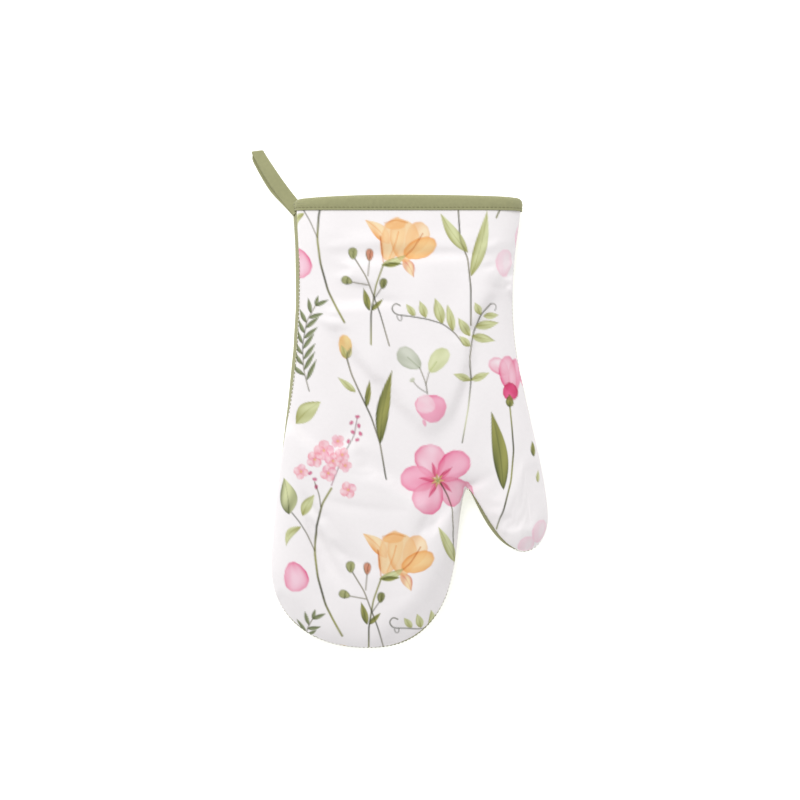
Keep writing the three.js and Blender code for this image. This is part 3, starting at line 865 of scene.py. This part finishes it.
def binding_surface():
    """The profile over the mouth's line: up the outside, over a half circle, down the inside, and
    back underneath the two edges. A fine ripple of the gathered tape runs round it."""
    lap = np.linspace(0, 2 * np.pi, len(mouth), endpoint=False)
    ripple = 0.10 * np.sin(61 * lap + 2 * np.sin(5 * lap)) + 0.08 * np.sin(23 * lap)
    half = (BINDING_OUT + BINDING_IN) / 2
    top = crest(mouth[:, 0]) - half
    rows = [
        on_binding(BINDING_OUT - 0.75, BINDING_FOOT + 0.25),
        on_binding(BINDING_OUT - 0.15 + ripple * 0.3, BINDING_FOOT),
        on_binding(BINDING_OUT + ripple * 0.6, BINDING_FOOT + 0.6),
        on_binding(BINDING_OUT - DENT, BINDING_FOOT + STITCH_UP),
        on_binding(BINDING_OUT + ripple, BINDING_FOOT + 3.2),
        on_binding(BINDING_OUT + 0.15 + ripple, BINDING_FOOT + 4.6),
    ]
    for angle in np.linspace(0, np.pi, ROUND):
        offset = (BINDING_OUT - BINDING_IN) / 2 + half * np.cos(angle) + ripple * 0.5
        rows.append(on_binding(offset, top + half * np.sin(angle)))
    rows += [
        on_binding(-BINDING_IN + DENT, BINDING_FOOT + STITCH_UP),
        on_binding(-BINDING_IN, BINDING_FOOT),
        on_binding(-BINDING_IN + 0.75, BINDING_FOOT + 0.25),
    ]
    return np.array(rows)


def closed_grid(rows):
    """Points and faces of rows of points that each close on themselves."""
    joined = np.concatenate([rows, rows[:, :1]], axis=1)
    faces = quads(*joined.shape[:2], 0, False)
    row, column = np.divmod(faces, joined.shape[1])
    return rows.reshape(-1, 3), row * rows.shape[1] + column % rows.shape[1]


binding = mesh_object("binding_tape", *closed_grid(binding_surface()), green_cotton)
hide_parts("cuff_binding")
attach(binding, "palm")

# ---- The stitches ----
# Sewing thread, one short stitch after another, each dipping into the cloth at both ends. Two rows
# hold the binding, and the seam's row lies deep in the groove between the walls.


def stitches(name, points, ups, pitch, length, radius):
    """A row of stitches as one mesh: five rings of six points each along a bowed spindle."""
    at = along(points)
    middles = np.arange(pitch / 2, at[-1], pitch)
    where = resample(np.hstack([points, ups]), at, middles)
    after_middles = resample(points, at, np.minimum(middles + 0.3, at[-1]))
    ahead = unit(after_middles - resample(points, at, middles - 0.3))
    up = unit(where[:, 3:])
    across = np.cross(ahead, up)
    s = np.linspace(-1, 1, 5)
    spin = np.arange(6) * np.pi / 3
    thick = radius * np.array([0.35, 0.85, 1, 0.85, 0.35])
    core = (
        where[:, None, :3]
        + ahead[:, None] * (s * length / 2)[None, :, None]
        + up[:, None] * (radius * (0.6 - 1.1 * s**2))[None, :, None]
    )
    around = across[:, None, None] * np.cos(spin)[:, None] + up[:, None, None] * np.sin(spin)[:, None]
    rings = core[:, :, None] + around * thick[None, :, None, None]
    ring = np.arange(6)
    after = (ring + 1) % 6
    belt = np.stack([ring, after, 6 + after, 6 + ring], axis=1)
    caps = np.array([[0, 5, 4, 3], [0, 3, 2, 1], [24, 25, 26, 27], [24, 27, 28, 29]])
    faces = np.vstack([belt + 6 * k for k in range(4)] + [caps])
    every = (faces[None] + np.arange(len(middles))[:, None, None] * 30).reshape(-1, 4)
    made = mesh_object(name, rings.reshape(-1, 3), every, green_thread)
    return made


def mouth_row(name, offset, sign):
    line = on_binding(offset, BINDING_FOOT + STITCH_UP)
    ups = np.column_stack([mouth_out[:, 0], np.zeros(len(mouth)), mouth_out[:, 1]]) * sign
    row = stitches(name, np.vstack([line, line[:1]]), np.vstack([ups, ups[:1]]), 2.7, 2.2, 0.26)
    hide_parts(f"binding_{name}")
    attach(row, "palm")


mouth_row("topstitch_outer", BINDING_OUT - 0.25, 1)
mouth_row("topstitch_inner", -BINDING_IN + 0.25, -1)


SEAM_DEEP = 0.4  # how far in from the edge of the green wall the seam's stitches lie


def seam_row(name, a, b):
    """The seam's stitches between two places of the side line, in the bottom of the groove."""
    line = rim[a:b]
    plan = line[:, :2] + line[:, 3:5] * (line[:, 2:3] + SEAM_DEEP)
    points = soften(np.column_stack([plan, seam_height(line[:, 2])]))
    ups = np.column_stack([-line[:, 3:5], np.zeros(len(line))])
    return stitches(name, points, ups, 2.6, 2.1, 0.25)


left_seam = seam_row("hand_seam_left", 2, starts[THUMB_IN])
thumb_seam = seam_row("thumb_seam", starts[THUMB_IN], starts[RIGHT])
right_seam = seam_row("hand_seam_right", starts[RIGHT], len(rim) - 2)
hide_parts("palm_left_seam_thread", "fingers_seam_thread", "crotch_seam_thread")
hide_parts("thumb_seam_thread")
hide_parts("palm_right_seam_thread")
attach(right_seam, "palm")

# ---- The hanging loop ----
# A strip of the same tape folded lengthwise and doubled back on itself, with both ends caught in
# the corner of the cuff. It leans out to the left and droops to the worktop.

LOOP_ROOT = np.array([-66.8, 124.6, 19.0])
LOOP_LENGTH = 51.0
LOOP_LEAN = np.radians(34.5)  # from +Y towards -X
LOOP_DROOP = np.radians(15)
LOOP_WIDTH = 8.8
TAPE_THICK = 1.5
EYE = 2.6  # half the opening at the tip
LEG_SHIFT = 2.3  # the lower leg shows this much past the upper one
BOW = 1.4
TIP_TURN = 0.75  # 1 turns the tip level, 0 leaves it square
TAPE_STEPS = 161  # along the tape
TAPE_PROFILE = 28  # points round it


def loop_frame():
    """Unit vectors out along the loop, across its tape, and up."""
    level = np.array([-np.sin(LOOP_LEAN), np.cos(LOOP_LEAN), 0])
    out = level * np.cos(LOOP_DROOP) - np.array([0, 0, np.sin(LOOP_DROOP)])
    across = np.array([-np.cos(LOOP_LEAN), -np.sin(LOOP_LEAN), 0.0])
    return out, across, np.cross(out, across)


def loop_line(t):
    """The middle of the tape: out on top, round the tip and back below. t runs from -1 to 1; the
    reach is a flattened cosine and the height a sine that opens towards the tip. It bows a little
    to the left."""
    out, across, up = loop_frame()
    reach = LOOP_LENGTH * (1 - np.abs(t) ** 2.6)
    opening = TAPE_THICK * 0.55 + EYE * smooth((reach - 10) / 26)
    rise = -np.sign(t) * opening * np.minimum(1, np.abs(t) / 0.16) ** 0.6
    past = LEG_SHIFT * smooth((t + 0.1) / 0.5) * (1 - 0.8 * smooth((t - 0.75) / 0.25))
    slide = past + BOW * np.sin(np.pi * reach / LOOP_LENGTH)
    points = LOOP_ROOT + reach[:, None] * out + rise[:, None] * up + slide[:, None] * across
    return points, reach / LOOP_LENGTH


def loop_surface():
    """The tape's rounded rectangle swept along its middle line. Towards the tip the tape turns
    until its fold lies straight across, and draws in."""
    t = np.linspace(-1, 1, TAPE_STEPS)
    line, share = loop_line(t)
    _, across, _ = loop_frame()
    level = np.array([-1.0, 0, 0])
    turned = unit(across + smooth((share - 0.45) / 0.55)[:, None] * TIP_TURN * (level - across))
    ahead = unit(np.gradient(line, axis=0))
    normal = unit(np.cross(turned, ahead))
    spin = np.linspace(0, 2 * np.pi, TAPE_PROFILE, endpoint=False)
    wide = LOOP_WIDTH / 2 * np.sign(np.cos(spin)) * np.abs(np.cos(spin)) ** 0.35
    narrow = 1 - 0.08 * smooth((share - 0.4) / 0.6)
    thick = TAPE_THICK / 2 * np.sign(np.sin(spin)) * np.abs(np.sin(spin)) ** 0.7
    sag = 0.25 * np.sin(6 * t)[:, None] * np.cos(spin)[None]
    sideways = turned[:, None] * (wide[None] * narrow[:, None])[:, :, None]
    return line[:, None] + sideways + normal[:, None] * (thick[None] + sag)[:, :, None]


loop_points, loop_faces = closed_grid(loop_surface())
ends = np.arange(TAPE_PROFILE)
for first_of_end, step in ((0, -1), ((TAPE_STEPS - 1) * TAPE_PROFILE, 1)):
    round_end = first_of_end + ends[::step]
    cap = [[round_end[0], *round_end[k : k + 3]] for k in range(1, TAPE_PROFILE - 2, 2)]
    loop_faces = np.vstack([loop_faces, cap])
loop = mesh_object("loop_tape", loop_points, loop_faces, green_cotton)
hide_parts("hanging_loop")
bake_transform(loop)

# ---- The bar tack ----
# A short dense zigzag of thread over the loop's ends, on the edge of the binding.

tack_line = LOOP_ROOT + np.array([[2.2, -3.2, 2.2], [1.6, 0.2, 2.6], [1.0, 3.6, 2.2]])
tack = stitches("bar_tack", tack_line, np.tile([-0.5, 0.0, 1.0], (3, 1)), 0.55, 1.3, 0.26)
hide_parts("loop_bar_tack")
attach(tack, "palm")

# ---- The cloth pieces, hand and thumb ----
# The cloths were cut flat and sewn. Each hand and thumb piece, and the seam rows beside them, only have
# their placement baked into their points.

cloths = [(front_hand, front_thumb, "printed_cotton"), (back_hand, back_thumb, "green_cotton")]
cloths += [(wadding[0], wadding[1], "wadding"), (wadding[2], wadding[3], "wadding")]
cloths += [(lining[0], lining[1], "lining"), (lining[2], lining[3], "lining")]
for hand, thumb, slot_name in cloths:
    bend_hand(hand)
    bend_thumb(thumb)
bend_hand(left_seam)
bend_thumb(thumb_seam)

# ---- The camera, the worktop and the light ----
# Seen from straight above on a white sheet, under a broad soft light from the cuff's side.

camera_data = bpy.data.cameras.new("camera")
camera_data.lens = 85
camera = bpy.data.objects.new("camera", camera_data)
camera.location = (0, 0, 1.269)
bpy.context.scene.collection.objects.link(camera)
bpy.context.scene.camera = camera

world = bpy.data.worlds.new("world")
world.use_nodes = True
world.node_tree.nodes["Background"].inputs["Color"].default_value = (1, 1, 1, 1)
world.node_tree.nodes["Background"].inputs["Strength"].default_value = 0.61
bpy.context.scene.world = world

white_sheet = bpy.data.materials.new("white sheet")
white_sheet.use_nodes = True
sheet_shader = white_sheet.node_tree.nodes["Principled BSDF"]
sheet_shader.inputs["Base Color"].default_value = (0.95, 0.95, 0.95, 1)
sheet_shader.inputs["Roughness"].default_value = 1.0
sheet_shader.inputs["Emission Color"].default_value = (1, 1, 1, 1)
sheet_shader.inputs["Emission Strength"].default_value = 0.55
FLOOR = 20000.0
floor_corners = FLOOR * np.array([[-1, -1, 0], [1, -1, 0], [1, 1, 0], [-1, 1, 0]])
floor = mesh_object("floor", floor_corners, np.array([[0, 1, 2, 3]]), white_sheet)

lamp_data = bpy.data.lights.new("lamp", "AREA")
lamp_data.energy = 12.5
lamp_data.size = 0.9
lamp = bpy.data.objects.new("lamp", lamp_data)
lamp.location = (-0.4, 0.9, 1.2)
lamp.rotation_euler = (-0.62, -0.27, 0)
bpy.context.scene.collection.objects.link(lamp)
bpy.context.scene.view_settings.view_transform = "Standard"
